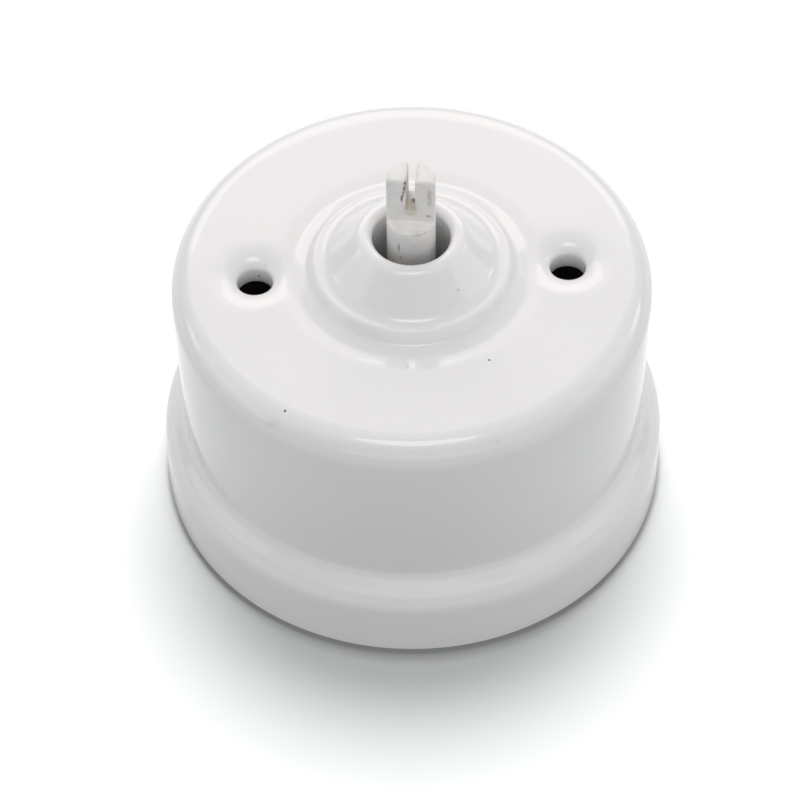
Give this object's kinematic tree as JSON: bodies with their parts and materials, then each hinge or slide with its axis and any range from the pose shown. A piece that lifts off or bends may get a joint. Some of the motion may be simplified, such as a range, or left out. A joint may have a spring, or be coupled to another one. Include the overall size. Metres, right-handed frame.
{
  "type": "porcelain rotary switch",
  "caption": "Surface-mounted rotary light switch with a round glazed porcelain cover, a bell-shaped boss and a split D-shaft that turns in quarter-turn steps.",
  "frame": {"origin": "centre of the back, on the plane that lies on the wall", "axes": "+Z along the spindle, away from the wall; X through the two cover-screw holes; -Y is the side the spindle's flat faces"},
  "size_m": [0.064, 0.064, 0.0522],
  "materials": {
    "glazed_porcelain": "white gloss glaze",
    "white_moulding": "matt, slightly worn",
    "dark_phenolic": "moulded, semi-gloss",
    "brown_phenolic": "moulded, semi-gloss",
    "cam_moulding": "moulded, natural",
    "brass": "turned",
    "spring_bronze": "rolled strip",
    "zinc_steel": "zinc plated",
    "screw_steel": "zinc plated",
    "spring_steel": "hardened strip"
  },
  "bodies": {
    "housing": {"cover": "glazed_porcelain", "base": "dark_phenolic", "cover_screw_inserts": "brass", "bridge_inserts": "brass", "bearing_bridge": "zinc_steel", "bridge_screws": "screw_steel", "spindle_bush": "cam_moulding", "thrust_washer": "zinc_steel", "detent_spring": "spring_steel", "contact_finger_common": "spring_bronze", "contact_finger_a": "spring_bronze", "contact_finger_b": "spring_bronze", "terminal_common": "brass", "terminal_a": "brass", "terminal_b": "brass", "terminal_screws": "screw_steel", "terminal_fixing_screws": "screw_steel"},
    "switch_rotor": {"spindle": "white_moulding", "rotor": "brown_phenolic", "contact_sleeve": "brass", "index_cam": "cam_moulding"}
  },
  "joints": [
    {"name": "spindle_turn", "type": "hinge", "parent": "housing", "child": "switch_rotor", "pos_m": [0, 0, 0], "axis": [0, 0, 1], "continuous": true, "deforming": ["detent_spring"]}
  ]
}
